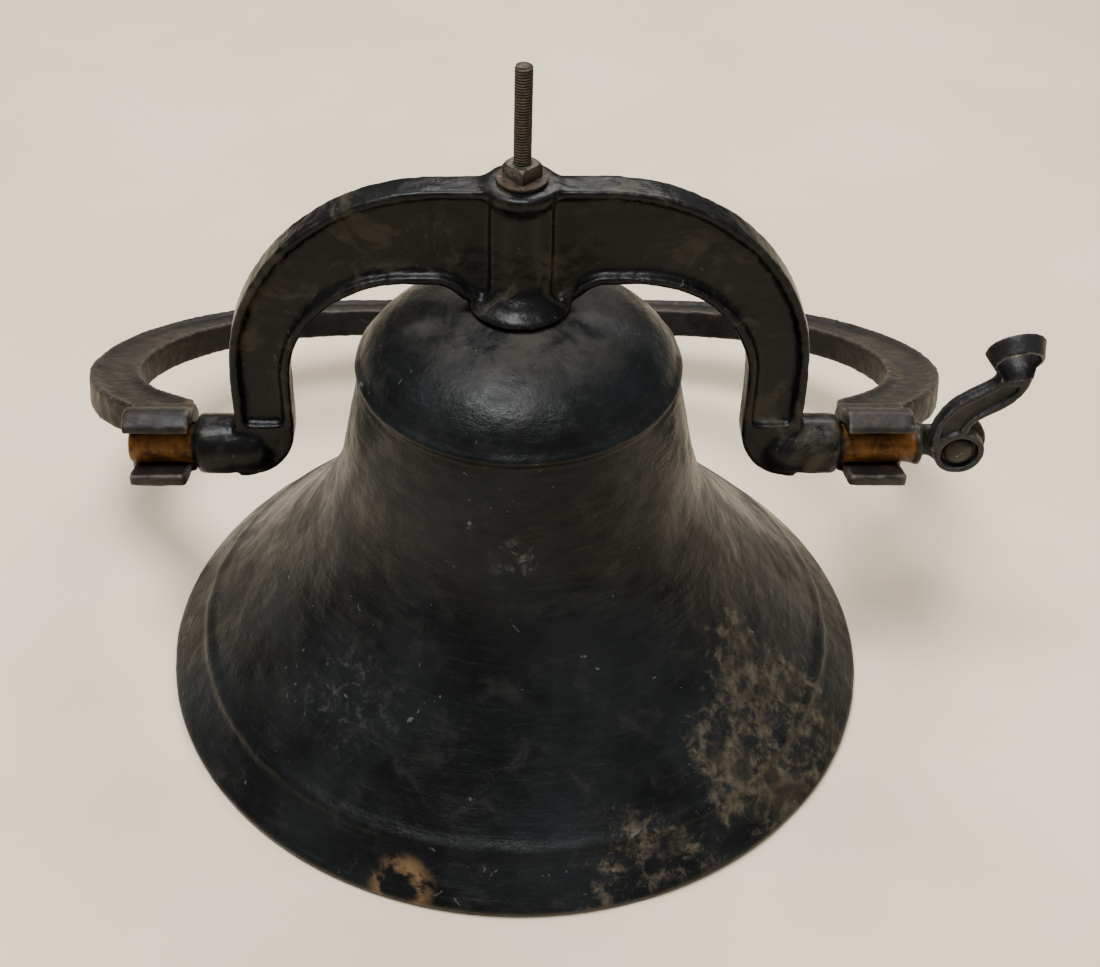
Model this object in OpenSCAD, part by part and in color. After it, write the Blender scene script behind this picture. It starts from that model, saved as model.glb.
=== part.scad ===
// Yard dinner bell: a cast bell hung from an arched yoke whose trunnions turn in a U-shaped cradle.
// Millimetres. The origin is the centre of the mouth, +Z is up, +X points to the rope lever.
// The bell stands on its mouth and the cradle is folded back behind it, with its foot on the ground.

/* [Bell] */
// Outer diameter of the mouth
mouth_d = 500; // [400:1:620]
// Height from the mouth to the top of the crown
bell_h = 304; // [250:1:370]
// Radius at the shoulder
shoulder_r = 105; // [85:1:125]
// Height of the rounded shoulder and crown together
shoulder_h = 53; // [40:1:70]
// Radius of the waist where the flare begins
waist_r = 119.5; // [106:0.5:145]
// Height at which the flare begins
waist_z = 180; // [150:1:190]
// Wall thickness of the waist and crown
wall = 9; // [6:0.5:12]
// Wall thickness at the lip
lip_t = 12; // [9:0.5:18]
// Height of the straight land inside the mouth
land_h = 8; // [5:1:9]
// Extra thickness of the crown where the stud passes
crown_pad_t = 3; // [0:0.5:6]

/* [Yoke] */
// Height of the yoke boss, from the crown to the top pad
boss_h = 88; // [75:1:105]
// Drop from the top pad to the trunnion axis
trunnion_drop = 203; // [180:1:225]
// Gap between the waist and the inside of each leg
leg_gap = 29.5; // [20:0.5:45]
// Width of each leg
leg_w = 40; // [36:1:50]
// Depth of the arch at its top
arch_t = 69; // [58:1:78]
// Outer radius of the arch corners
arch_r = 138; // [120:1:150]
// Inner radius of the arch at the legs
arch_in_r = 75; // [45:1:76]
// Front to back depth of the flanges
flange_depth = 22; // [18:1:28]
// Thickness of the flanges
flange_t = 7; // [5:0.5:10]
// Thickness of the web between the flanges
web_t = 9; // [6:0.5:12]
// Diameter of the central boss
boss_d = 33; // [28:0.5:40]
// Diameter of the pad on top of the boss
pad_d = 50; // [44:1:60]
// Height of the pad above the top flange
pad_rise = 2; // [0.5:0.5:4]
// Diameter of the foot that stands on the crown
foot_d = 68; // [60:1:76]
// Diameter of the collar at the end of each leg
collar_d = 42; // [38:1:48]
// Length of the collar at the end of each leg
collar_len = 26; // [20:1:34]
// Diameter of the trunnion journals
journal_d = 27; // [22:0.5:32]

/* [Cradle] */
// Length of each bearing
bearing_len = 46; // [40:1:56]
// Gap between the swinging lip and the bottom of the cradle
swing_clear = 7; // [5:1:20]
// Gap between the mouth and each side of the cradle
side_clear = 30; // [22:1:45]
// Width of the cradle bar
bar_w = 40; // [34:1:48]
// Thickness of the cradle bar
bar_t = 24; // [18:1:30]
// Inner radius of the curve from the bottom bar to each side
bow_r = 160; // [130:1:180]
// Inner radius of the hook from each side back to its bearing
hook_r = 110; // [100:1:125]
// Diameter of the mounting foot
base_d = 100; // [92:1:120]
// Thickness of the mounting foot
base_t = 12; // [9:0.5:16]
// Length of the neck between the bar and the foot
base_neck = 28; // [20:1:40]
// Pitch circle of the foot's bolt holes
base_pcd = 72; // [66:1:76]
// Diameter of the foot's bolt holes
base_hole_d = 9; // [7:0.5:11]

/* [Hanger and clapper] */
// Diameter of the threaded stud, 7/16 inch
stud_d = 11.1; // [10:0.1:12.7]
// Length of stud that stands above the top nut
stud_out = 64; // [40:1:90]
// Width across the flats of the stud's square nuts
nut_af = 17.5; // [16:0.5:20]
// Thickness of the stud's square nuts
nut_t = 9.5; // [8:0.5:11]
// Outer diameter of the stud's washers
washer_d = 31.8; // [26:0.1:36]
// Thickness of the washers
washer_t = 2.4; // [1.6:0.1:3.2]
// Thickness of the lock nut above the clevis
lock_nut_t = 6; // [5:0.5:8]
// Outer diameter of the clevis
clevis_d = 26; // [23:1:30]
// Gap between the clevis ears
clevis_gap = 11; // [9:0.5:13]
// Diameter of the clapper pin
pin_d = 9; // [7:0.5:10]
// Diameter of the clapper shank
shank_d = 13; // [10:0.5:16]
// Diameter of the clapper ball
ball_d = 58; // [46:1:64]
// Height of the underside of the clapper ball above the mouth
ball_clear = 12; // [10:1:20]

/* [Rope lever] */
// Distance from the bearing to the lever's bolt
lug_reach = 33; // [30:0.5:40]
// Diameter of the lug at the end of the trunnion
lug_d = 41; // [38:1:46]
// Thickness of the lug
lug_t = 10; // [8:0.5:12]
// Diameter of the lever's hub
hub_d = 34; // [30:1:38]
// Thickness of the lever's hub
hub_t = 11; // [9.5:0.5:13]
// Diameter of the lever's bolt, 3/8 inch
lever_bolt_d = 9.5; // [8:0.1:10]
// Height of the rope eye above the bolt
eye_rise = 77; // [68:1:92]
// Sideways reach of the rope eye from the bolt
eye_reach = 26; // [16:1:36]
// Diameter of the hole in the rope eye
eye_hole_d = 27; // [20:0.5:28]
// Depth of the rope eye along its hole
eye_depth = 13; // [10:0.5:16]
// Angle by which the rope eye points below the horizontal
eye_tilt = 27; // [10:1:45]

/* [Fits] */
// Radial clearance of each running fit
run_fit = 0.06; // [0.02:0.01:0.1]
// Gap between faces that slide past each other
face_gap = 0.3; // [0.2:0.05:0.6]

/* [Hidden] */
$fn = 96;
eps = 0.01;

iron = "#23262a";
worn_iron = "#3a3430";
rust = "#5a3c2a";

// Bell
mouth_r = mouth_d / 2;
shoulder_z = bell_h - shoulder_h;
crown_in_z = bell_h - wall - crown_pad_t;
crown_pad_r = washer_d / 2 + 4;
bead_r = 2;
bead_z = shoulder_z + 8;
lip_bead_z = 33;
flare_steps = 22;
dome_steps = 14;

// Yoke
yoke_top_z = bell_h + boss_h;
pad_top_z = yoke_top_z + pad_rise;
axis_z = yoke_top_z - trunnion_drop;
leg_in = waist_r + leg_gap;
leg_out = leg_in + leg_w;
arch_in_z = yoke_top_z - arch_t;
heel_r = min(38, leg_w - 2);
leg_end_z = axis_z - collar_d / 2 - 1;
throat_r = min(22, arch_in_z - bell_h - 1);
throat_x = foot_d / 2 + 2;
collar_end = leg_out + 1 + collar_len;
journal_r = journal_d / 2;

// Cradle, in its own plane: x across, y away from the trunnion axis, z square to the plane
bearing_x = collar_end + 2 + bearing_len / 2;
bearing_end = bearing_x + bearing_len / 2;
swing_r = sqrt(mouth_r * mouth_r + axis_z * axis_z);
bar_in_y = swing_r + swing_clear;
bar_out_y = bar_in_y + bar_w;
bow_x = mouth_r + side_clear - bow_r;
bow_y = bar_in_y - bow_r;
hook_x = mouth_r + side_clear - hook_r;
arm_inset = 9;
bar_rim = 6;
bar_dish = 3;
base_y = bar_out_y + base_neck + base_t;
base_r = base_d / 2;
fold_a = asin(axis_z / sqrt(base_y * base_y + base_r * base_r)) - atan(base_r / base_y);
foot_neck_r = 19;
foot_web_t = bar_t - 2 * bar_dish;
foot_flare_x = bow_x + 45;
box_back = journal_r + 15;
box_front = journal_r + 13;
upper_jaw = journal_r + 15;
lower_jaw = journal_r + 11;
back_h = journal_r + 10;

// Hanger and clapper
stud_r = stud_d / 2;
washer_hole_r = stud_r + 0.9;
top_nut_z = pad_top_z + washer_t;
stud_top_z = top_nut_z + nut_t + stud_out;
crown_nut_z = crown_in_z - washer_t - nut_t;
lock_nut_z = crown_nut_z - 1 - lock_nut_t;
clevis_hub_h = 20;
clevis_top_z = lock_nut_z;
clevis_crotch_z = clevis_top_z - clevis_hub_h;
stud_end_z = clevis_crotch_z + 2;
pin_r = pin_d / 2;
eye_r = pin_r + 6;
pin_z = clevis_crotch_z - eye_r - 2;
ball_z = ball_clear + ball_d / 2;
cotter_r = 1.2;
pin_head_t = 3;
pin_tail = 7;

// Rope lever
lug_x = bearing_end + lug_reach;
thrust_r = journal_r + 2;
thrust_t = 5.5;
lug_front_y = -1;
lug_back_y = lug_front_y + lug_t;
hub_back_y = lug_front_y - face_gap;
hub_front_y = hub_back_y - hub_t;
hub_recess = 5;
bolt_r = lever_bolt_d / 2;
bolt_head_r = bolt_r + 5.2;
head_seat_y = hub_front_y + hub_recess - face_gap;
neck_end = lug_x - hub_d / 2 - 7;
lever_nut_t = 8.3;
lever_nut_af = 15.9;
lever_washer_t = 2;
eye_wide_r = eye_hole_d / 2 + 6.7;
eye_narrow_r = eye_hole_d / 2 + 2.7;
eye_y = -5;
arm_points = 14;
arm_root_z = -9;
bolt_len = lug_back_y - head_seat_y + lever_washer_t + lever_nut_t + 4;

// Centre line of the lever's curved arm, in x and z from the centre of its hub
arm_a = [-9, 6];
arm_b = [-13, eye_rise * 0.64];
arm_c = [eye_reach + 5, eye_rise * 0.46];
arm_d = [eye_reach + 1, eye_rise - 6];

// A point on a cubic curve through four control points
function curve(a, b, c, d, t) =
    a * pow(1 - t, 3) + 3 * b * t * pow(1 - t, 2) + 3 * c * t * t * (1 - t) + d * pow(t, 3);
function unit(v) = v / norm(v);
function arm_mid(t) = curve(arm_a, arm_b, arm_c, arm_d, t);
function arm_side(t) =
    let (d = unit(arm_mid(min(t + 0.01, 1)) - arm_mid(max(t - 0.01, 0))))
    [-d[1], d[0]];
// One edge of the arm, whose half width goes from w0 at the hub to w1 at the eye
function arm_edge(w0, w1, s) = [
    for (i = [0:arm_points])
        let (t = i / arm_points)
        arm_mid(t) + s * arm_side(t) * (w0 + (w1 - w0) * t)
];

// Outer profile of the bell, from the lip to the middle of the crown, as [radius, height]
lip_edge = [mouth_r, 5];
flare_outer = [
    for (i = [0:flare_steps])
        curve(lip_edge, [mouth_r - 62, 67], [waist_r + 15, waist_z - 64],
              [waist_r, waist_z], i / flare_steps)
];
shoulder_outer = [
    for (i = [0:dome_steps])
        [6 + (shoulder_r - 6) * cos(90 * i / dome_steps),
         shoulder_z + shoulder_h * sin(90 * i / dome_steps)]
];
// Inner profile, from the crown to the land inside the mouth
in_mouth_r = mouth_r - lip_t;
flare_inner = [
    for (i = [flare_steps:-1:0])
        curve([in_mouth_r, land_h], [mouth_r - 84, land_h + 42], [waist_r + 3, waist_z - 64],
              [waist_r - wall, waist_z], i / flare_steps)
];
shoulder_inner = [
    for (i = [dome_steps:-1:0])
        [(shoulder_r - wall) * cos(90 * i / dome_steps),
         shoulder_z + (shoulder_h - wall) * sin(90 * i / dome_steps)]
];

module bell_profile() {
    polygon(concat(
        [[mouth_r - 1.5, 0]], flare_outer, shoulder_outer, [[0, bell_h]],
        shoulder_inner, flare_inner, [[in_mouth_r, 0]]
    ));
    // Thick pad under the middle of the crown
    translate([0, crown_in_z]) square([crown_pad_r, wall + crown_pad_t - 1]);
    // Bead round the shoulder and moulding line above the lip
    translate([shoulder_r - 0.6, bead_z]) circle(r = bead_r, $fn = 24);
    translate([mouth_r - 33.5, lip_bead_z]) circle(r = bead_r + 0.6, $fn = 24);
}

module bell() color(iron) difference() {
    rotate_extrude($fn = 180) intersection() {
        bell_profile();
        square([mouth_r + 10, bell_h + 1]);
    }
    translate([0, 0, crown_in_z - 5]) cylinder(r = washer_hole_r, h = wall + crown_pad_t + 10);
}

// Turns an outline drawn in x and z into a plate centred on y = 0
module plate(t) {
    rotate([90, 0, 0]) translate([0, 0, -t / 2]) linear_extrude(t) children();
}

module both_sides() {
    children();
    mirror([1, 0, 0]) children();
}

// Outline of one half of the yoke, drawn inset by e
module yoke_outer(e) {
    arc_x = leg_out - arch_r;
    arc_z = yoke_top_z - arch_r;
    translate([-eps, bell_h]) square([arc_x + 2 * eps, boss_h - e]);
    intersection() {
        translate([arc_x, arc_z]) circle(r = arch_r - e);
        translate([arc_x, arc_z]) square([arch_r, arch_r]);
    }
    translate([0, leg_end_z + heel_r]) square([leg_out - e, arc_z - leg_end_z - heel_r + eps]);
    translate([0, arc_z]) square([arc_x + eps, arch_r - e]);
}

// Rounded heel at the bottom of each leg
module yoke_heel() {
    translate([leg_in + heel_r, leg_end_z]) square([leg_w - heel_r, heel_r]);
    translate([leg_in + heel_r, leg_end_z + heel_r]) intersection() {
        circle(r = heel_r);
        translate([-heel_r, -heel_r]) square(heel_r);
    }
}

// Opening between the boss and one leg, grown by e
module yoke_void(e) {
    in_x = leg_in - arch_in_r;
    in_z = arch_in_z - arch_in_r;
    left_x = throat_x - e;
    translate([in_x, in_z]) circle(r = arch_in_r + e);
    translate([throat_x + throat_r, arch_in_z - throat_r]) circle(r = throat_r + e);
    translate([throat_x + throat_r, in_z]) square([in_x - throat_x - throat_r, arch_in_r + e]);
    translate([left_x, leg_end_z]) square([in_x - left_x, arch_in_z - throat_r - leg_end_z]);
    translate([left_x, leg_end_z]) square([leg_in + e - left_x, in_z - leg_end_z]);
    translate([left_x, 0]) square([leg_in - left_x, leg_end_z + heel_r]);
    square([throat_x, bell_h]);
}

// Hollow on each face between the flanges and the boss
module web_pocket() {
    difference() {
        yoke_outer(flange_t);
        yoke_void(flange_t);
        square([boss_d / 2 + 3, yoke_top_z]);
        square([leg_out, axis_z + collar_d / 2 + 2]);
    }
}

// Solid of revolution about the trunnion axis, with its profile given as [x, radius] points
module on_axis(points) {
    translate([0, 0, axis_z]) rotate([0, 90, 0]) rotate_extrude()
        polygon([for (p = points) [p[1], p[0]]]);
}

// Elbow, collar and journal, from the leg outwards to x = far
module trunnion(far) {
    stub_r = collar_d / 2 - 1;
    stub_x = leg_in + heel_r - 6;
    nose = [for (a = [0:15:90]) [stub_x - stub_r * cos(a), stub_r * sin(a)]];
    on_axis(concat(
        nose,
        [[leg_out + 1, stub_r], [leg_out + 3, collar_d / 2], [collar_end - 2, collar_d / 2],
         [collar_end, collar_d / 2 - 2], [collar_end, journal_r], [far - 2, journal_r],
         [far, journal_r - 2], [far, 0]]
    ));
}

// Thrust collar, neck and lug outside the right-hand bearing
module lever_end() {
    start = bearing_end + 3;
    on_axis([[start - 5, 0], [start - 5, journal_r], [start, journal_r], [start, thrust_r - 1],
             [start + 1, thrust_r], [start + thrust_t, thrust_r], [start + thrust_t, journal_r - 0.5],
             [neck_end, journal_r - 0.5], [neck_end, 0]]);
    translate([lug_x, lug_back_y, axis_z]) rotate([90, 0, 0]) cylinder(d = lug_d, h = lug_t);
    translate([neck_end - 4, lug_front_y, axis_z - journal_r + 1.5])
        cube([lug_x - neck_end, lug_t, journal_d - 3]);
}

module yoke() color(iron) difference() {
    union() {
        difference() {
            both_sides() plate(flange_depth) difference() {
                union() {
                    yoke_outer(0);
                    yoke_heel();
                }
                yoke_void(0);
            }
            for (side = [-1, 1])
                translate([0, side * (web_t + flange_depth) / 2, 0])
                    both_sides() plate(flange_depth) web_pocket();
        }
        both_sides() trunnion(bearing_end - 1);
        lever_end();
        // Boss with its top pad and the flared foot that stands on the crown
        rotate_extrude() polygon([
            [0, bell_h], [foot_d / 2 - 1, bell_h], [foot_d / 2, bell_h + 1.5], [foot_d / 2 - 1, bell_h + 5],
            [foot_d / 2 - 8, bell_h + 9], [boss_d / 2 + 2, bell_h + 17], [boss_d / 2, bell_h + 24],
            [boss_d / 2, yoke_top_z - 18], [boss_d / 2 + 2, yoke_top_z - 12], [pad_d / 2 - 1, yoke_top_z - 8],
            [pad_d / 2, yoke_top_z - 6], [pad_d / 2, pad_top_z - 2], [pad_d / 2 - 2, pad_top_z], [0, pad_top_z]
        ]);
    }
    translate([0, 0, bell_h - 5]) cylinder(r = washer_hole_r, h = boss_h + 20);
    translate([lug_x, lug_back_y + 5, axis_z]) rotate([90, 0, 0])
        cylinder(r = bolt_r + run_fit, h = lug_t + 10);
}

// Half of the cradle's U, grown outwards from its inner edge: the bow, then the hook to the bearing
module u_shape(grow, end_x, end_y) {
    square([bow_x + eps, bar_in_y + grow]);
    translate([bow_x, bow_y]) intersection() {
        circle(r = bow_r + grow);
        square(bow_r + grow + 1);
    }
    translate([hook_x, bow_y]) intersection() {
        circle(r = hook_r + grow);
        translate([0, -hook_r - grow - 1]) square(hook_r + grow + 1);
    }
    translate([0, end_y]) square([end_x, bow_y - end_y + eps]);
}

// The bar of the U, drawn inset by e from both of its edges
module bar_outline(e) {
    difference() {
        u_shape(bar_w - e, bearing_end - e, box_back - 5);
        u_shape(e, bearing_x - bearing_len / 2 + arm_inset + e, 0);
    }
}

// Bar along x with its section given in y and z, centred on x = 0
module cross_bar(length) {
    rotate([90, 0, 90]) translate([0, 0, -length / 2]) linear_extrude(length) children();
}

// Bearing at the end of an arm, with an open slot that faces -y between its two jaws
module bearing_block() {
    slot_r = journal_r + run_fit;
    difference() {
        union() {
            cross_bar(bearing_len) polygon([
                [6, -back_h], [box_back - 9, -back_h], [box_back, -bar_t / 2 - 3], [box_back, bar_t / 2 + 3],
                [box_back - 9, back_h], [6, back_h], [-8, upper_jaw], [9 - box_front, upper_jaw],
                [-box_front, upper_jaw - 9], [-box_front, 0], [6, 0]
            ]);
            cross_bar(bearing_len - 6) polygon([
                [6, 0], [6, -back_h], [-8, -lower_jaw], [5 - box_front, -lower_jaw],
                [-box_front, -lower_jaw + 8], [-box_front, 0]
            ]);
        }
        rotate([0, 90, 0]) cylinder(r = slot_r, h = bearing_len + 10, center = true);
        translate([-bearing_len, -box_front - 5, -slot_r]) cube([2 * bearing_len, box_front + 5, 2 * slot_r]);
    }
}

// Round mounting foot below the middle of the bar, with its flared web and bolt holes
module mounting_foot() {
    plate_y = base_y - base_t;
    difference() {
        union() {
            translate([0, plate_y, 0]) rotate([-90, 0, 0]) cylinder(r = base_r, h = base_t);
            translate([0, bar_out_y - 6, 0]) rotate([-90, 0, 0])
                cylinder(r = foot_neck_r, h = base_neck + 10);
            translate([0, 0, -foot_web_t / 2]) linear_extrude(foot_web_t) polygon([
                [-foot_flare_x, bar_out_y - 6], [foot_flare_x, bar_out_y - 6],
                [base_r, plate_y + 1], [-base_r, plate_y + 1]
            ]);
        }
        for (a = [45:90:315])
            rotate([0, a, 0]) translate([base_pcd / 2, plate_y - 15, 0]) rotate([-90, 0, 0])
                cylinder(d = base_hole_d, h = base_t + 30);
    }
}

module cradle() color(worn_iron) translate([0, 0, axis_z]) rotate([-fold_a, 0, 0]) {
    difference() {
        both_sides() translate([0, 0, -bar_t / 2]) linear_extrude(bar_t) bar_outline(0);
        // Shallow dish along the top and bottom faces, between raised rims
        for (z = [bar_t / 2 - bar_dish, -bar_t / 2 - bar_dish])
            both_sides() translate([0, 0, z]) linear_extrude(2 * bar_dish) difference() {
                bar_outline(bar_rim);
                square([bearing_end, box_back + 14]);
            }
    }
    both_sides() translate([bearing_x, 0, 0]) bearing_block();
    mounting_foot();
}

// Square nut on the z axis with its top corners rounded off
module square_nut(af, t, hole_r) {
    difference() {
        intersection() {
            rotate(45) cylinder(r = af / sqrt(2), h = t, $fn = 4);
            cylinder(r1 = af * 0.75 + t, r2 = af * 0.56, h = t);
        }
        translate([0, 0, -1]) cylinder(r = hole_r, h = t + 2);
    }
}

module washer(d, t, hole_r) {
    difference() {
        cylinder(d = d, h = t);
        translate([0, 0, -1]) cylinder(r = hole_r, h = t + 2);
    }
}

module hanger_stud() color(rust) translate([0, 0, stud_end_z]) {
    cylinder(r = stud_r, h = stud_top_z - stud_end_z - 1.2);
    translate([0, 0, stud_top_z - stud_end_z - 1.2]) cylinder(r1 = stud_r, r2 = stud_r - 1.2, h = 1.2);
}

module hanger_nut() color(worn_iron)
    translate([0, 0, top_nut_z]) rotate(45) square_nut(nut_af, nut_t, stud_r);

module top_washer() color(rust) translate([0, 0, pad_top_z]) washer(washer_d, washer_t, washer_hole_r);

module crown_washer() color(rust)
    translate([0, 0, crown_in_z - washer_t]) washer(washer_d, washer_t, washer_hole_r);

module crown_nut() color(rust)
    translate([0, 0, crown_nut_z + nut_t]) mirror([0, 0, 1]) square_nut(nut_af, nut_t, stud_r);

module clevis_lock_nut() color(rust)
    translate([0, 0, lock_nut_z]) rotate(20) square_nut(nut_af, lock_nut_t, stud_r);

module clapper_clevis() color(worn_iron) difference() {
    union() {
        translate([0, 0, clevis_crotch_z]) cylinder(d = clevis_d, h = clevis_hub_h);
        intersection() {
            translate([-clevis_d / 2, -eye_r, pin_z])
                cube([clevis_d, 2 * eye_r, clevis_crotch_z - pin_z + 1]);
            translate([0, 0, pin_z - 1]) cylinder(d = clevis_d, h = clevis_crotch_z - pin_z + 2);
        }
        translate([-clevis_d / 2 + 2, 0, pin_z]) rotate([0, 90, 0])
            cylinder(r = eye_r - 1.5, h = clevis_d - 4);
    }
    translate([-clevis_gap / 2, -clevis_d, pin_z - 2 * eye_r])
        cube([clevis_gap, 2 * clevis_d, clevis_crotch_z - pin_z + 2 * eye_r]);
    translate([0, 0, stud_end_z]) cylinder(r = stud_r, h = clevis_hub_h + 10);
    translate([-clevis_d, 0, pin_z]) rotate([0, 90, 0]) cylinder(r = pin_r + run_fit, h = 2 * clevis_d);
}

module clapper_pin() color(rust) translate([0, 0, pin_z]) rotate([0, 90, 0]) difference() {
    union() {
        translate([0, 0, -clevis_d / 2]) cylinder(r = pin_r, h = clevis_d + pin_tail);
        translate([0, 0, -clevis_d / 2 - pin_head_t]) cylinder(r = pin_r + 2.2, h = pin_head_t);
    }
    translate([0, 0, clevis_d / 2 + 3.5]) rotate([0, 90, 0])
        cylinder(r = cotter_r, h = 4 * pin_r, center = true);
}

module clapper_cotter() color(rust) translate([clevis_d / 2 + 3.5, 0, pin_z]) {
    cylinder(r = cotter_r, h = 2 * pin_r + 5, center = true);
    translate([0, 0, pin_r + 4.5]) rotate([0, 90, 0])
        rotate_extrude() translate([2.6, 0]) circle(r = cotter_r, $fn = 24);
}

module clapper_shank() color(worn_iron) difference() {
    union() {
        intersection() {
            translate([0, 0, pin_z]) rotate([0, 90, 0])
                cylinder(r = eye_r, h = clevis_gap - 2 * face_gap, center = true);
            translate([0, 0, pin_z]) cube([clevis_gap, 3 * eye_r, 3 * eye_r], center = true);
        }
        translate([0, 0, ball_z])
            cylinder(r1 = shank_d / 2 + 1.5, r2 = shank_d / 2 - 1.2, h = pin_z - ball_z - eye_r + 3);
    }
    translate([-clevis_d, 0, pin_z]) rotate([0, 90, 0]) cylinder(r = pin_r + run_fit, h = 2 * clevis_d);
    translate([0, 0, ball_z]) sphere(d = ball_d);
}

module clapper_ball() color(worn_iron) translate([0, 0, ball_z]) sphere(d = ball_d);

module arm_outline(w0, w1) {
    right = arm_edge(w0, w1, -1);
    polygon(concat(
        [[1 - w0, arm_root_z]], arm_edge(w0, w1, 1),
        [for (i = [arm_points:-1:0]) right[i]], [[w0 - 8, arm_root_z]]
    ));
}

module eye_frame() {
    translate([lug_x + eye_reach, eye_y, axis_z + eye_rise]) rotate([90 + eye_tilt, 0, 6]) children();
}

// Plate in the lever's own plane, from y = back forwards by t
module lever_plate(back, t) {
    translate([lug_x, back, axis_z]) rotate([90, 0, 0]) linear_extrude(t) children();
}

module rope_lever() color(iron) difference() {
    union() {
        lever_plate(hub_back_y, hub_t) circle(d = hub_d);
        lever_plate(hub_back_y, hub_t) arm_outline(11, 10);
        lever_plate(hub_back_y - 3, hub_t - 6) arm_outline(13, 12);
        eye_frame() translate([0, 0, -eye_depth / 2])
            cylinder(r1 = eye_wide_r, r2 = eye_narrow_r, h = eye_depth);
    }
    // Groove along the front of the arm, which leaves a ridge down each edge
    lever_plate(hub_front_y + 3, hub_t) difference() {
        arm_outline(6, 5);
        circle(d = hub_d + 2);
        translate([eye_reach, eye_rise]) circle(r = eye_wide_r + 1);
    }
    lever_plate(hub_front_y + hub_recess, hub_t) circle(r = bolt_head_r + 2.3);
    lever_plate(lug_back_y, 3 * hub_t) circle(r = bolt_r + run_fit);
    eye_frame() translate([0, 0, -eye_depth]) cylinder(d = eye_hole_d, h = 2 * eye_depth);
}

// Round-headed bolt, in a frame whose z axis runs from the head to the nut
module bolt_frame() {
    translate([lug_x, head_seat_y, axis_z]) rotate([-90, 0, 0]) children();
}

module lever_bolt() color(worn_iron) bolt_frame() {
    cylinder(r = bolt_r, h = bolt_len);
    rotate_extrude() polygon(concat(
        [[0, 0], [bolt_head_r, 0]],
        [for (a = [0:15:75]) [bolt_head_r * cos(a), -0.8 - 4.2 * sin(a)]],
        [[0, -5]]
    ));
}

module lever_washer() color(rust)
    translate([lug_x, lug_back_y, axis_z]) rotate([-90, 0, 0]) washer(24, lever_washer_t, bolt_r + 0.5);

module lever_nut() color(worn_iron) translate([lug_x, lug_back_y + lever_washer_t, axis_z])
    rotate([-90, 0, 0]) rotate(12) square_nut(lever_nut_af, lever_nut_t, bolt_r);

bell();
yoke();
cradle();
hanger_stud();
hanger_nut();
top_washer();
crown_washer();
crown_nut();
clevis_lock_nut();
clapper_clevis();
clapper_pin();
clapper_cotter();
clapper_shank();
clapper_ball();
rope_lever();
lever_bolt();
lever_washer();
lever_nut();
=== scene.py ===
"""Yard dinner bell: cast-iron surfaces, paint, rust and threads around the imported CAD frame."""
from math import cos, pi, radians, sin, sqrt

import bpy
import bmesh
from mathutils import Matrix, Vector, noise


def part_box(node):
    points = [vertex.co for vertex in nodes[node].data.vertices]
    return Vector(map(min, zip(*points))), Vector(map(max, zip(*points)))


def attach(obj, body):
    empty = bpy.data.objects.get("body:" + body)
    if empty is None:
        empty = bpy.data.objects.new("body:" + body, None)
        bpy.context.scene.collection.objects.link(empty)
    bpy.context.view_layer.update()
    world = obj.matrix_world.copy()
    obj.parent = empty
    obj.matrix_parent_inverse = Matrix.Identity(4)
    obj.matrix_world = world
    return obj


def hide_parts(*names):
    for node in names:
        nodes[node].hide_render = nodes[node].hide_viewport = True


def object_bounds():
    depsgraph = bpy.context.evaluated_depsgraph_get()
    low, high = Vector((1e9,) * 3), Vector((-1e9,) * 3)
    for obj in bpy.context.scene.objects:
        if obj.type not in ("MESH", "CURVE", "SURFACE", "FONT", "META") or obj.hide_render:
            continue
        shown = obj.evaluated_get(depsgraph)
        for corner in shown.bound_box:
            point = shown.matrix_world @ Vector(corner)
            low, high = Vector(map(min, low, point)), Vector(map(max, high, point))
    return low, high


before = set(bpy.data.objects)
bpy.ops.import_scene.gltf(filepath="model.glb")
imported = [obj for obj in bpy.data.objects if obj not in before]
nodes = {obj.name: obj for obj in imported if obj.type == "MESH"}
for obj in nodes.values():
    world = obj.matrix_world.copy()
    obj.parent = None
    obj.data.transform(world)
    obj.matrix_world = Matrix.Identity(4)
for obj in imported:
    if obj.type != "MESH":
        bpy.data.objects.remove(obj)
cad_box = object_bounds()

# Camera: the focal length and the shift are in the widths of a picture IMAGE_W across
IMAGE_W = 1100
FOCAL_W = 1800
SHIFT_W = 71
SENSOR_MM = 36
CAMERA_PLACE = (-0.026, -0.945, 0.960)
CAMERA_TILT = radians(49.5)

# Sizes of the frame, in metres
MOUTH_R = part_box("bell")[1].x
CROWN_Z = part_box("bell")[1].z
CRADLE_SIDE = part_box("cradle")[1].x

# The bell's own sizes, the same as in its CAD
SHOULDER_R = 0.105
SHOULDER_H = 0.053
WAIST_R = 0.1195
WAIST_Z = 0.180
WALL = 0.009
LIP = 0.012
LAND = 0.008
PAD = 0.012
BELL_STEPS = 340

# The thread of the hanger stud, 14 turns to the inch
THREAD_PITCH = 0.001814
THREAD_DEPTH = 0.00075
TIP_TAPER = 0.0012

# The rusty stretch of each trunnion lies inside a bearing this far in from the cradle's side
BEARING_INSET = 0.102
JOURNAL_LENGTH = 0.050
JOURNAL_FADE = 0.003

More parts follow.
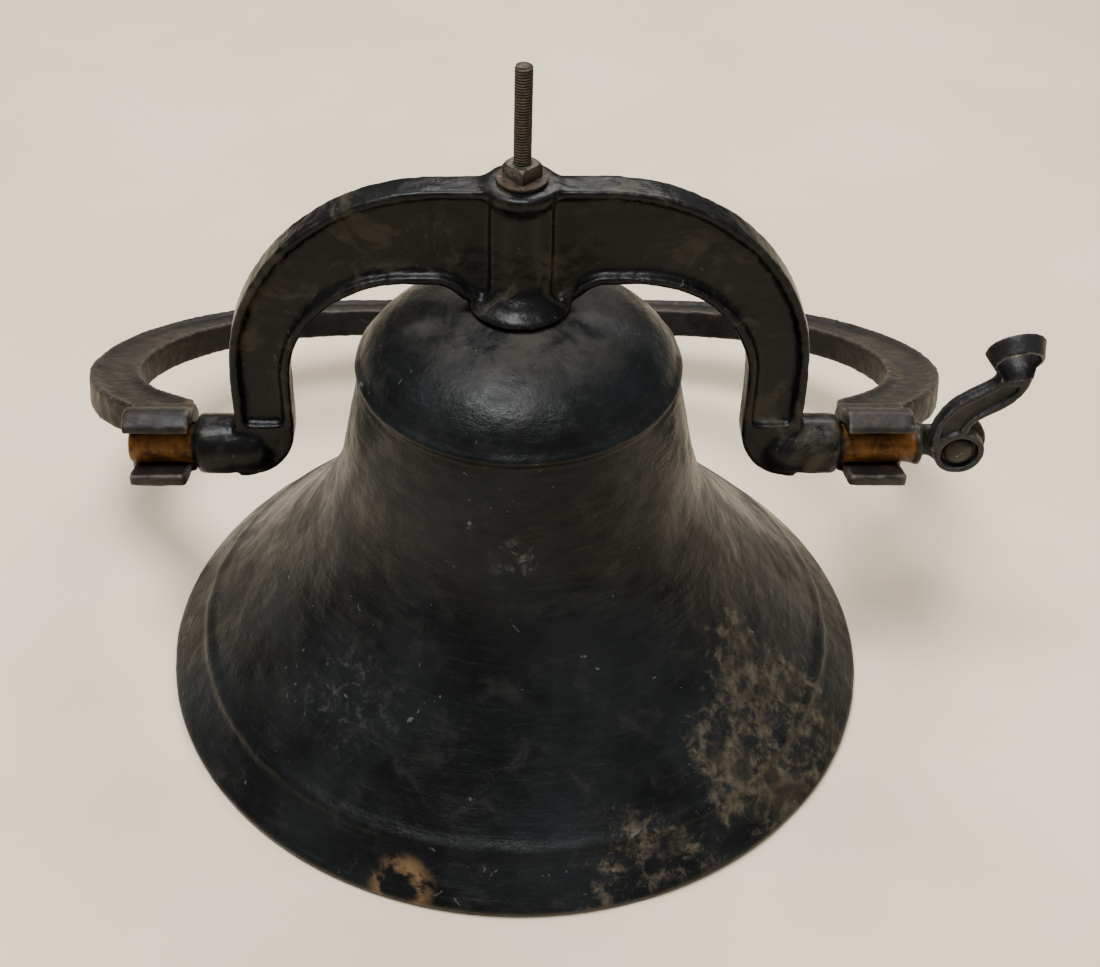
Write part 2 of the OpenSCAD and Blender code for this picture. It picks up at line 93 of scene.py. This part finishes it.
# Dirt on the bell: centre, radius and strength of each patch
DIRT_PATCHES = (
    ((0.175, -0.13, 0.04), 0.15, 1.0),
    ((0.145, -0.085, 0.09), 0.07, 0.95),
    ((0.225, 0.02, 0.03), 0.09, 0.7),
    ((0.09, -0.225, 0.012), 0.10, 0.9),
    ((-0.01, -0.243, 0.01), 0.06, 0.5),
    ((-0.12, -0.143, 0.07), 0.062, 0.55),
    ((-0.14, -0.19, 0.03), 0.06, 0.35),
    ((-0.21, 0.05, 0.05), 0.12, 0.5),
    ((0.03, 0.23, 0.03), 0.16, 0.8),
    ((-0.1, -0.05, 0.255), 0.05, 0.45),
    ((0.07, 0.08, 0.27), 0.08, 0.6),
)
LIP_CHIP = (-0.077, -0.235, 0.012)
# Centres of pale spots painted on the bell's front: a painted sheen on the waist and a painted
# highlight on the lower-left flare
WAIST_SHEEN_SPOT = (-0.003, -0.117, 0.19)
FLARE_HIGHLIGHT_SPOT = (-0.11, -0.13, 0.08)

FLOOR_HALF = 6.0
FLOOR_GAP = 0.0005


# ---------------------------------------------------------------- shader helpers

class Paint:
    """Builds one material out of nodes; coordinates are the piece's own, in metres."""

    def __init__(self, name):
        self.mat = bpy.data.materials.new(name)
        self.mat.use_nodes = True
        self.tree = self.mat.node_tree
        self.shader = self.tree.nodes["Principled BSDF"]
        self.place = self.node("ShaderNodeTexCoord").outputs["Object"]

    def node(self, kind, inputs=(), **settings):
        made = self.tree.nodes.new(kind)
        for key, value in settings.items():
            setattr(made, key, value)
        for key, value in dict(inputs).items():
            self.put(made.inputs[key], value)
        return made

    def put(self, socket, value):
        if isinstance(value, bpy.types.NodeSocket):
            self.tree.links.new(value, socket)
        else:
            socket.default_value = value

    def set(self, **inputs):
        for key, value in inputs.items():
            self.put(self.shader.inputs[key.replace("_", " ")], value)

    def math(self, operation, a, b=0.0):
        return self.node("ShaderNodeMath", {0: a, 1: b}, operation=operation).outputs[0]

    def noise(self, scale, detail=5.0, rough=0.55, warp=0.0, at=None):
        inputs = {"Vector": at or self.place, "Scale": scale, "Detail": detail,
                  "Roughness": rough, "Distortion": warp}
        return self.node("ShaderNodeTexNoise", inputs).outputs["Fac"]

    def band(self, value, low, high):
        """0 below low, 1 above high, smooth between."""
        inputs = {"Value": value, "From Min": low, "From Max": high}
        made = self.node("ShaderNodeMapRange", inputs, interpolation_type="SMOOTHSTEP")
        return made.outputs["Result"]

    def mix(self, share, a, b):
        made = self.node("ShaderNodeMix", data_type="RGBA")
        self.put(made.inputs["Factor"], share)
        for key, value in (("A", a), ("B", b)):
            socket = [s for s in made.inputs if s.name == key and s.type == "RGBA"][0]
            self.put(socket, value if isinstance(value, bpy.types.NodeSocket) else (*value, 1.0))
        return [s for s in made.outputs if s.type == "RGBA"][0]

    def blend(self, share, a, b):
        """Number between a and b."""
        made = self.node("ShaderNodeMapRange", {"Value": share, "To Min": a, "To Max": b})
        return made.outputs["Result"]

    def axis(self, name):
        return self.node("ShaderNodeSeparateXYZ", {0: self.place}).outputs[name]

    def stretched(self, x, y, z, at=None):
        return self.node("ShaderNodeVectorMath", {0: at or self.place, 1: (x, y, z)},
                         operation="MULTIPLY").outputs[0]

    def spot(self, centre, radius, edge=0.5):
        """1 at centre, falling to 0 at radius; centre in metres."""
        away = self.node("ShaderNodeVectorMath", {0: self.place, 1: centre}, operation="DISTANCE")
        return self.band(away.outputs["Value"], radius, radius * edge)

    def bump(self, height, strength, distance, normal=None):
        inputs = {"Height": height, "Strength": strength, "Distance": distance}
        if normal:
            inputs["Normal"] = normal
        return self.node("ShaderNodeBump", inputs).outputs["Normal"]

    def edges(self):
        """Rises where the surface is convex, such as along a worn edge."""
        return self.node("ShaderNodeNewGeometry").outputs["Pointiness"]


def round_bell(p):
    """Coordinates that run round the bell's axis, so that brush strokes lie along its girth."""
    flat = p.node("ShaderNodeSeparateXYZ", {0: p.place})
    angle = p.math("ARCTAN2", flat.outputs["Y"], flat.outputs["X"])
    return p.node("ShaderNodeCombineXYZ", {0: angle, 1: flat.outputs["Z"], 2: 0.0}).outputs[0]


# ---------------------------------------------------------------- materials

def bell_paint():
    """Old black brushed paint on rough cast iron, with rust and dirt where it has worn, and a painted
    sheen and painted highlight on its front.
    """
    p = Paint("brushed_black_bell")
    turn = round_bell(p)
    cloud = p.noise(9, 6, 0.6)
    mottle = p.noise(42, 8, 0.65, 0.4)
    grit = p.noise(420, 4, 0.7)
    strokes = p.noise(1.0, 6, 0.62, 0.25, p.stretched(5, 420, 1, turn))
    fine_strokes = p.noise(1.0, 4, 0.7, 0.1, p.stretched(16, 1500, 1, turn))
    height = p.axis("Z")

    base = p.mix(p.band(cloud, 0.36, 0.66), (0.0030, 0.0034, 0.0036), (0.0095, 0.0115, 0.0125))
    base = p.mix(p.math("MULTIPLY", p.band(strokes, 0.55, 0.75), 0.35), base, (0.022, 0.026, 0.028))
    base = p.mix(p.math("MULTIPLY", p.band(mottle, 0.52, 0.72), 0.45), base, (0.030, 0.028, 0.024))

    # Dull brown-grey dust on the crown
    crown = p.math("MULTIPLY", p.band(height, CROWN_Z - 0.02, CROWN_Z - 0.002),
                   p.band(mottle, 0.3, 0.62))
    base = p.mix(crown, base, (0.042, 0.037, 0.031))

    # Rust and tan dirt, mostly on the right of the flare and along the lip
    patches = None
    for centre, radius, share in DIRT_PATCHES:
        one = p.math("MULTIPLY", p.spot(centre, radius, 0.25), share)
        patches = one if patches is None else p.math("MAXIMUM", patches, one)
    speckle = p.math("ADD", p.math("MULTIPLY", p.noise(120, 10, 0.8, 0.4), 0.55),
                     p.math("MULTIPLY", p.noise(18, 6, 0.65), 0.45))
    threshold = p.blend(patches, 0.72, 0.44)
    rusty = p.band(p.math("SUBTRACT", speckle, threshold), 0.0, 0.10)
    rust_tone = p.mix(p.band(p.noise(60, 8, 0.7), 0.40, 0.66),
                      (0.030, 0.023, 0.016), (0.105, 0.085, 0.058))
    base = p.mix(p.math("MULTIPLY", rusty, 0.8), base, rust_tone)

    # Bare orange chip on the lip; a painted sheen on the waist front and a painted highlight on the
    # lower-left flare, both pale and broken up like scratches; pale nicks all over
    chip = p.math("MULTIPLY", p.spot(LIP_CHIP, 0.026, 0.45), p.band(mottle, 0.42, 0.56))
    base = p.mix(chip, base, (0.16, 0.095, 0.045))
    # Painted sheen and painted highlight: pale grey spots on the front of the waist and the flare
    painted_sheen_at = p.math("MAXIMUM", p.spot(WAIST_SHEEN_SPOT, 0.022, 0.1),
                      p.math("MULTIPLY", p.spot(FLARE_HIGHLIGHT_SPOT, 0.06, 0.1), 0.45))
    sheen_and_nicks = p.math("MULTIPLY", painted_sheen_at, p.band(p.noise(130, 9, 0.75, 0.3), 0.50, 0.72))
    nicks = p.math("MULTIPLY", p.band(p.noise(95, 2, 0.4, 2.0), 0.735, 0.78), 0.55)
    sheen_and_nicks = p.math("MAXIMUM", sheen_and_nicks, nicks)
    base = p.mix(sheen_and_nicks, base, (0.12, 0.122, 0.112))

    gloss = p.blend(p.band(p.noise(26, 8, 0.68, 0.3), 0.38, 0.64), 0.24, 0.46)
    gloss = p.math("ADD", gloss, p.math("MULTIPLY", p.band(strokes, 0.4, 0.7), 0.08))
    gloss = p.math("ADD", gloss, p.math("MULTIPLY", p.math("MAXIMUM", rusty, crown), 0.34))
    gloss = p.math("ADD", gloss, p.math("MULTIPLY", p.band(cloud, 0.5, 0.8), 0.10))
    n = p.bump(p.noise(48, 6, 0.6), 0.6, 0.0024)
    n = p.bump(mottle, 0.5, 0.0011, n)
    n = p.bump(strokes, 0.45, 0.0006, n)
    n = p.bump(fine_strokes, 0.25, 0.0003, n)
    n = p.bump(grit, 0.4, 0.0005, n)
    p.set(Base_Color=base, Roughness=gloss, Normal=n, Specular_IOR_Level=0.14, Coat_Weight=0.03,
          Coat_Roughness=0.3)
    return p.mat


def yoke_paint():
    """Glossy black paint, thicker than on the bell, with olive grime in the corners."""
    p = Paint("glossy_black_yoke")
    cloud = p.noise(16, 6, 0.6)
    mottle = p.noise(75, 8, 0.65, 0.5)
    grit = p.noise(500, 4, 0.7)
    lumps = p.noise(120, 5, 0.6)
    base = p.mix(p.band(cloud, 0.35, 0.65), (0.0028, 0.0028, 0.0029), (0.0075, 0.0073, 0.0072))
    hollow = p.band(p.edges(), 0.497, 0.47)
    grime = p.math("MULTIPLY", p.band(p.noise(26, 7, 0.7, 0.8), 0.50, 0.66),
                   p.blend(hollow, 0.55, 1.0))
    base = p.mix(p.math("MULTIPLY", grime, 0.75), base, (0.075, 0.066, 0.044))
    worn = p.math("MULTIPLY", p.band(p.edges(), 0.515, 0.56), p.band(mottle, 0.42, 0.62))
    base = p.mix(p.math("MULTIPLY", worn, 0.8), base, (0.085, 0.08, 0.072))
    flakes = p.band(p.noise(150, 6, 0.7, 0.8), 0.655, 0.70)
    base = p.mix(p.math("MULTIPLY", flakes, 0.7), base, (0.12, 0.115, 0.10))
    # Glazed orange-brown rust where the trunnions turn in their bearings
    start = CRADLE_SIDE - BEARING_INSET
    end = start + JOURNAL_LENGTH
    side = p.math("ABSOLUTE", p.axis("X"))
    journal = p.math("MULTIPLY", p.band(side, start, start + JOURNAL_FADE),
                     p.band(side, end, end - JOURNAL_FADE))
    rust = p.mix(p.band(mottle, 0.35, 0.65), (0.045, 0.018, 0.006), (0.24, 0.10, 0.022))
    base = p.mix(journal, base, rust)
    gloss = p.blend(p.band(cloud, 0.3, 0.7), 0.24, 0.36)
    gloss = p.math("ADD", gloss, p.math("MULTIPLY", p.math("MAXIMUM", grime, worn), 0.28))
    n = p.bump(lumps, 0.5, 0.0016)
    n = p.bump(mottle, 0.35, 0.0008, n)
    n = p.bump(grit, 0.3, 0.0003, n)
    p.set(Base_Color=base, Roughness=gloss, Normal=n, Specular_IOR_Level=0.13, Coat_Weight=0.05,
          Coat_Roughness=0.2)
    return p.mat


def worn_iron(name, dark, light, rub, rough=(0.42, 0.62), rust=0.25, scale=1.0):
    """Old iron with thin paint or none: mottled, rubbed bright along its edges."""
    p = Paint(name)
    cloud = p.noise(22 * scale, 6, 0.6)
    mottle = p.noise(110 * scale, 8, 0.68, 0.5)
    base = p.mix(p.band(cloud, 0.34, 0.66), dark, light)
    rusty = p.math("MULTIPLY", p.band(p.noise(48 * scale, 8, 0.7, 0.7), 0.52, 0.68), rust)
    base = p.mix(rusty, base, (0.13, 0.06, 0.026))
    pits = p.band(p.noise(260 * scale, 4, 0.6), 0.36, 0.28)
    base = p.mix(p.math("MULTIPLY", pits, 0.7), base, (0.006, 0.005, 0.005))
    worn = p.math("MULTIPLY", p.band(p.edges(), 0.51, 0.56), p.band(mottle, 0.36, 0.6))
    base = p.mix(worn, base, rub)
    gloss = p.blend(p.band(mottle, 0.3, 0.7), *rough)
    n = p.bump(p.noise(130 * scale, 6, 0.6), 0.5, 0.0014 / scale)
    n = p.bump(mottle, 0.4, 0.0007 / scale, n)
    n = p.bump(p.noise(620 * scale, 4, 0.7), 0.35, 0.0003 / scale, n)
    p.set(Base_Color=base, Roughness=gloss, Normal=n, Specular_IOR_Level=0.25)
    return p.mat


def pale_floor():
    p = Paint("pale_floor")
    tone = p.band(p.noise(3.2, 5, 0.55), 0.3, 0.7)
    p.set(Base_Color=p.mix(tone, (0.84, 0.695, 0.50), (0.89, 0.765, 0.585)), Roughness=0.62,
          Normal=p.bump(p.noise(60, 6, 0.6), 0.1, 0.002), Specular_IOR_Level=0.35)
    return p.mat


# ---------------------------------------------------------------- mesh helpers

def add_piece(name, mesh, body, material, stands_for):
    piece = bpy.data.objects.new(name, mesh)
    bpy.context.scene.collection.objects.link(piece)
    mesh.materials.clear()
    mesh.materials.append(material)
    for face in mesh.polygons:
        face.use_smooth = True
    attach(piece, body)
    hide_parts(stands_for)
    return piece


def applied(mesh, *modifiers):
    """The mesh after (kind, settings) modifiers."""
    holder = bpy.data.objects.new("holder", mesh)
    bpy.context.scene.collection.objects.link(holder)
    for kind, settings in modifiers:
        made = holder.modifiers.new(kind, kind)
        for key, value in settings.items():
            setattr(made, key, value)
    graph = bpy.context.evaluated_depsgraph_get()
    result = bpy.data.meshes.new_from_object(holder.evaluated_get(graph))
    bpy.data.objects.remove(holder)
    return result


def welded(node):
    """A copy of a CAD node's mesh with its split edges joined again."""
    source = nodes[node]
    shape = bmesh.new()
    shape.from_mesh(source.data)
    shape.transform(source.matrix_world)
    bmesh.ops.remove_doubles(shape, verts=shape.verts, dist=1e-6)
    mesh = bpy.data.meshes.new(node + "_welded")
    shape.to_mesh(mesh)
    shape.free()
    return mesh


def lumpy(mesh, layers, shrink=0.0):
    """Moves each point along its normal by layers of (waves per metre, height) noise."""
    normals = [vertex.normal.copy() for vertex in mesh.vertices]
    for vertex, normal in zip(mesh.vertices, normals):
        push = -shrink
        for waves, tall in layers:
            push += tall * noise.noise(vertex.co * waves)
        vertex.co += normal * push
    mesh.update()
    return mesh


def cast(node, voxel, rounds, layers, shrink=0.0002):
    """The node as a casting: its edges and corners rounded and its skin uneven."""
    mesh = applied(welded(node), ("REMESH", {"mode": "VOXEL", "voxel_size": voxel}),
                   ("SMOOTH", {"factor": 0.5, "iterations": rounds}))
    return lumpy(mesh, layers, shrink)


def softened(node, width, layers=()):
    """The node with small rounded edges, for turned and forged pieces."""
    mesh = applied(welded(node), ("BEVEL", {"width": width, "segments": 3, "limit_method": "ANGLE",
                                            "angle_limit": radians(30)}))
    return lumpy(mesh, layers) if layers else mesh


def threaded_rod(radius, low, high, pitch, depth, tip):
    """Rod along z with a helical thread and a tapered tip."""
    around, per_turn = 40, 8
    rows = int((high - low) / pitch * per_turn)
    mesh = bpy.data.meshes.new("threaded_rod")
    shape = bmesh.new()
    rings = []
    for row in range(rows + 1):
        z = low + (high - low) * row / rows
        ring = []
        for i in range(around):
            angle = 2 * pi * i / around
            phase = (z / pitch - i / around) % 1.0
            groove = depth * (0.5 + 0.5 * cos(2 * pi * phase)) ** 1.3
            worn = 0.00012 * noise.noise(Vector((cos(angle) * 3, sin(angle) * 3, z * 260)))
            taper = max(0.0, tip - (high - z)) * 0.7
            r = radius - groove - taper + min(worn, 0)
            ring.append(shape.verts.new((r * cos(angle), r * sin(angle), z)))
        rings.append(ring)
    for a, b in zip(rings, rings[1:]):
        for i in range(around):
            j = (i + 1) % around
            shape.faces.new((a[i], a[j], b[j], b[i]))
    shape.faces.new(list(reversed(rings[0])))
    shape.faces.new(rings[-1])
    shape.to_mesh(mesh)
    shape.free()
    return mesh


# ---------------------------------------------------------------- pieces

def bezier(a, b, c, d, t):
    return a * (1 - t) ** 3 + 3 * b * t * (1 - t) ** 2 + 3 * c * t * t * (1 - t) + d * t ** 3


def swell(height, centre, width, tall):
    """Height of a soft bead at a place along the profile."""
    gap = abs(height - centre) / width
    return tall * (0.5 + 0.5 * cos(pi * gap)) if gap < 1 else 0.0


def bell_profile():
    """Outer skin from the lip up to the crown, then the inner skin down to the mouth."""
    shoulder_z = CROWN_Z - SHOULDER_H
    points = []
    for i in range(101):
        t = i / 100
        r = bezier(MOUTH_R, MOUTH_R - 0.062, WAIST_R + 0.015, WAIST_R, t)
        z = bezier(0.005, 0.067, WAIST_Z - 0.064, WAIST_Z, t)
        points.append((r + swell(z, 0.033, 0.0055, 0.0022), z))
    for i in range(1, 33):
        z = WAIST_Z + (shoulder_z - WAIST_Z) * i / 33
        r = WAIST_R + (SHOULDER_R - WAIST_R) * i / 33
        points.append((r + swell(z, shoulder_z + 0.004, 0.009, 0.0016), z))
    for i in range(49):
        a = pi / 2 * i / 48
        z = shoulder_z + SHOULDER_H * sin(a)
        r = 0.006 + (SHOULDER_R - 0.006) * cos(a)
        points.append((r + swell(z, shoulder_z + 0.008, 0.0055, 0.0026) * cos(a), z))
    points += [(0.0, CROWN_Z), (0.0, CROWN_Z - PAD), (0.020, CROWN_Z - PAD), (0.022, CROWN_Z - WALL)]
    for i in range(25):
        a = pi / 2 * (1 - i / 24)
        r = 0.024 + (SHOULDER_R - WALL - 0.024) * cos(a)
        points.append((r, shoulder_z + (SHOULDER_H - WALL) * sin(a)))
    inner = MOUTH_R - LIP
    for i in range(61):
        t = 1 - i / 60
        r = bezier(inner, MOUTH_R - 0.084, WAIST_R + 0.003, WAIST_R - WALL, t)
        z = bezier(LAND, LAND + 0.042, WAIST_Z - 0.064, WAIST_Z, t)
        points.append((r, z))
    points += [(inner, 0.0012), (inner + 0.0012, 0.0)]
    points += [(MOUTH_R - 0.0035, 0.0), (MOUTH_R - 0.0018, 0.0006), (MOUTH_R - 0.0007, 0.0022)]
    return points


def ring_skin(points, steps):
    """Closed skin turned round the z axis from a closed profile."""
    shape = bmesh.new()
    rings = []
    for radius, height in points:
        if radius < 1e-6:
            rings.append([shape.verts.new((0, 0, height))])
        else:
            turns = [2 * pi * i / steps for i in range(steps)]
            rings.append([shape.verts.new((radius * cos(a), radius * sin(a), height)) for a in turns])
    for k, low in enumerate(rings):
        high = rings[(k + 1) % len(rings)]
        if len(low) == 1 and len(high) == 1:
            continue
        for i in range(steps):
            j = (i + 1) % steps
            corners = [low[i % len(low)], low[j % len(low)], high[j % len(high)], high[i % len(high)]]
            shape.faces.new(dict.fromkeys(corners))
    bmesh.ops.recalc_face_normals(shape, faces=shape.faces)
    mesh = bpy.data.meshes.new("ring_skin")
    shape.to_mesh(mesh)
    shape.free()
    return mesh


def make_bell():
    mesh = ring_skin(bell_profile(), BELL_STEPS)
    for vertex in mesh.vertices:
        co = vertex.co
        if co.z > 0.004:
            # Uneven cast skin: broad waves, lumps, and runs of thick paint
            push = 0.0011 * noise.noise(co * 9) + 0.00075 * noise.noise(co * 28)
            push += 0.00042 * noise.noise(co * 75)
            push += 0.00022 * noise.noise(Vector((co.x * 60, co.y * 60, co.z * 260)))
            out = Vector((co.x, co.y, 0)).normalized()
            if co.z > CROWN_Z - 0.02:
                vertex.co.z += min(push * 0.5, 0.0)
            else:
                vertex.co += out * min(push, (MOUTH_R - 0.0002) - sqrt(co.x ** 2 + co.y ** 2))
    mesh.update()
    add_piece("bell_casting", mesh, "bell", bell_paint(), "bell")


def make_castings(rough_iron, lever_iron, clapper_iron):
    yoke = cast("yoke", 0.00135, 26, ((40, 0.0005), (130, 0.0003), (330, 0.00012)), 0.0004)
    add_piece("yoke_casting", yoke, "bell", yoke_paint(), "yoke")
    cradle = cast("cradle", 0.0019, 11, ((35, 0.0005), (120, 0.0003), (300, 0.00015)), 0.0007)
    add_piece("cradle_casting", cradle, "cradle", rough_iron, "cradle")
    lever = cast("rope_lever", 0.0008, 16, ((90, 0.0003), (260, 0.00015)))
    add_piece("rope_lever_casting", lever, "lever", lever_iron, "rope_lever")
    clevis = cast("clapper_clevis", 0.0006, 10, ((120, 0.0002), (400, 0.0001)))
    add_piece("clevis_casting", clevis, "bell", clapper_iron, "clapper_clevis")
    shank = cast("clapper_shank", 0.0008, 8, ((70, 0.0003), (260, 0.00012)))
    add_piece("shank_forging", shank, "clapper", clapper_iron, "clapper_shank")
    ball = cast("clapper_ball", 0.0014, 4, ((45, 0.0005), (160, 0.0003)))
    add_piece("ball_casting", ball, "clapper", clapper_iron, "clapper_ball")


def make_hardware(rust, dark):
    low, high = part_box("hanger_stud")
    rod = threaded_rod(high.x, low.z, high.z, THREAD_PITCH, THREAD_DEPTH, TIP_TAPER)
    add_piece("hanger_stud_thread", rod, "bell", rust, "hanger_stud")
    for node, width in (("hanger_nut", 0.0009), ("crown_nut", 0.0009), ("clevis_lock_nut", 0.0007),
                        ("lever_nut", 0.0007)):
        nut = softened(node, width, ((180, 0.00025),))
        add_piece(node + "_forging", nut, "bell", dark, node)
    for node in ("top_washer", "crown_washer", "lever_washer", "clapper_pin", "clapper_cotter"):
        add_piece(node + "_piece", softened(node, 0.0004), "bell", rust, node)
    bolt = softened("lever_bolt", 0.0006)
    add_piece("lever_bolt_forging", bolt, "bell", dark, "lever_bolt")


# ---------------------------------------------------------------- scene

def make_stage():
    mesh = bpy.data.meshes.new("floor")
    half = FLOOR_HALF
    corners = [(-half, -half, 0), (half, -half, 0), (half, half, 0), (-half, half, 0)]
    mesh.from_pydata(corners, [], [(0, 1, 2, 3)])
    floor = bpy.data.objects.new("floor", mesh)
    bpy.context.scene.collection.objects.link(floor)
    floor.location.z = min(cad_box[0].z, 0.0) - FLOOR_GAP
    mesh.materials.append(pale_floor())


def add_light(name, place, target, size, power, colour):
    data = bpy.data.lights.new(name, "AREA")
    data.shape = "RECTANGLE"
    data.size, data.size_y = size
    data.energy = power
    data.color = colour
    light = bpy.data.objects.new(name, data)
    light.location = place
    light.rotation_euler = (Vector(target) - Vector(place)).to_track_quat("-Z", "Y").to_euler()
    bpy.context.scene.collection.objects.link(light)


def make_lights():
    add_light("overhead", (-0.35, -0.35, 2.5), (0, 0, 0.1), (1.3, 0.7), 82, (0.96, 0.98, 1.0))
    add_light("back_panel", (0.5, 1.9, 2.3), (0, 0, 0.15), (1.6, 0.8), 52, (1.0, 0.97, 0.93))
    world = bpy.data.worlds.new("soft_room")
    world.use_nodes = True
    tree = world.node_tree
    back = tree.nodes["Background"]
    back.inputs["Color"].default_value = (0.93, 0.93, 0.91, 1)
    # Bright above and dim near the horizon, as in a hall lit from its ceiling
    place = tree.nodes.new("ShaderNodeTexCoord")
    split = tree.nodes.new("ShaderNodeSeparateXYZ")
    glow = tree.nodes.new("ShaderNodeMapRange")
    glow.inputs["From Min"].default_value = 0.25
    glow.inputs["From Max"].default_value = 1.0
    glow.inputs["To Min"].default_value = 0.12
    glow.inputs["To Max"].default_value = 0.75
    tree.links.new(place.outputs["Generated"], split.inputs[0])
    tree.links.new(split.outputs["Z"], glow.inputs["Value"])
    tree.links.new(glow.outputs["Result"], back.inputs["Strength"])
    bpy.context.scene.world = world


def make_camera():
    data = bpy.data.cameras.new("camera")
    data.sensor_width = SENSOR_MM
    data.lens = SENSOR_MM * FOCAL_W / IMAGE_W
    data.shift_x = SHIFT_W / IMAGE_W
    camera = bpy.data.objects.new("camera", data)
    camera.location = CAMERA_PLACE
    camera.rotation_euler = (CAMERA_TILT, 0, 0)
    bpy.context.scene.collection.objects.link(camera)
    bpy.context.scene.camera = camera


make_camera()
make_stage()
make_lights()
rust = worn_iron("rusty_steel", (0.010, 0.008, 0.006), (0.038, 0.023, 0.014), (0.11, 0.08, 0.055),
                 (0.45, 0.7), 0.5, 2.2)
dark = worn_iron("oily_dark_steel", (0.014, 0.012, 0.008), (0.04, 0.034, 0.022), (0.15, 0.14, 0.12),
                 (0.28, 0.45), 0.2, 2.2)
rough_iron = worn_iron("worn_cradle_iron", (0.006, 0.0052, 0.0046), (0.017, 0.0135, 0.011),
                       (0.10, 0.085, 0.07), (0.4, 0.6), 0.22)
lever_iron = worn_iron("worn_lever_iron", (0.007, 0.007, 0.0075), (0.018, 0.017, 0.017),
                       (0.16, 0.155, 0.15), (0.3, 0.5), 0.15, 1.6)
clapper_iron = worn_iron("bare_clapper_iron", (0.035, 0.02, 0.013), (0.09, 0.055, 0.035),
                         (0.14, 0.11, 0.09), (0.5, 0.75), 0.6, 1.3)
make_bell()
make_castings(rough_iron, lever_iron, clapper_iron)
make_hardware(rust, dark)
